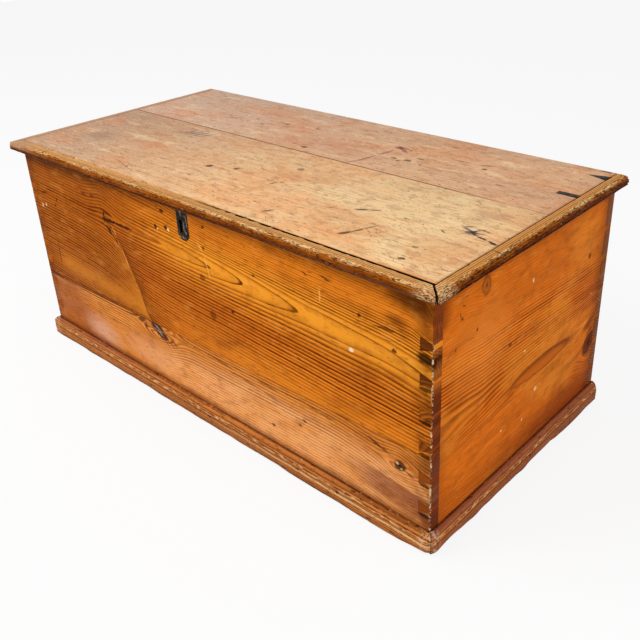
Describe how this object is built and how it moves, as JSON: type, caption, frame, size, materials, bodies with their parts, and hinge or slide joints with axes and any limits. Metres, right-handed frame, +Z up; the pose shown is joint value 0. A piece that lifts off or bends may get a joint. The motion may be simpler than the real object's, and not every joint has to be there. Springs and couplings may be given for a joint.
{
  "type": "blanket chest",
  "caption": "Antique pine blanket chest with dovetailed corners, a base moulding, a hinged flat lid with a moulded edge and an iron escutcheon over a box lock.",
  "frame": {"origin": "centre of the overall box, at floor height under the bottom boards", "axes": "+X along the front to the right-hand end as seen from the front, +Y from the front to the back, +Z up"},
  "size_m": [1.042, 0.5184, 0.438],
  "materials": {
    "case_pine": "old waxed pine, orange-brown, satin",
    "lid_pine": "old waxed pine, pale honey, worn satin",
    "edge_pine": "waxed pine moulding with worn pale arrises",
    "raw_pine": "unfinished aged pine, dull",
    "iron": "old blackened iron, dull"
  },
  "bodies": {
    "case": {"front_board_upper": "case_pine", "front_board_lower": "case_pine", "back_board_upper": "case_pine", "back_board_lower": "case_pine", "side_board_right": "case_pine", "side_board_left": "case_pine", "bottom_board_1": "raw_pine", "bottom_board_2": "raw_pine", "bottom_board_3": "raw_pine", "bottom_board_4": "raw_pine", "bottom_board_5": "raw_pine", "base_moulding_front": "edge_pine", "base_moulding_right": "edge_pine", "base_moulding_left": "edge_pine", "lock_case": "iron", "escutcheon": "iron", "hinge_case_leaf_left": "iron", "hinge_pin_left": "iron", "hinge_case_leaf_right": "iron", "hinge_pin_right": "iron"},
    "lid": {"lid_board_front": "lid_pine", "lid_board_rear": "lid_pine", "lid_moulding_front": "edge_pine", "lid_moulding_right": "edge_pine", "lid_moulding_left": "edge_pine", "lid_batten_left": "raw_pine", "lid_batten_right": "raw_pine", "lid_iron_strip": "iron", "lid_iron_wedge": "iron", "lock_link_plate": "iron", "hinge_lid_leaf_left": "iron", "hinge_lid_leaf_right": "iron"},
    "bolt": {"lock_bolt": "iron"}
  },
  "joints": [
    {"name": "lid_hinge", "type": "hinge", "parent": "case", "child": "lid", "pos_m": [0, 0.25475, 0.42215], "axis": [-1, 0, 0], "range_deg": [0, 186]},
    {"name": "bolt_slide", "type": "slide", "parent": "case", "child": "bolt", "axis": [1, 0, 0], "range_m": [0, 0.008]}
  ]
}
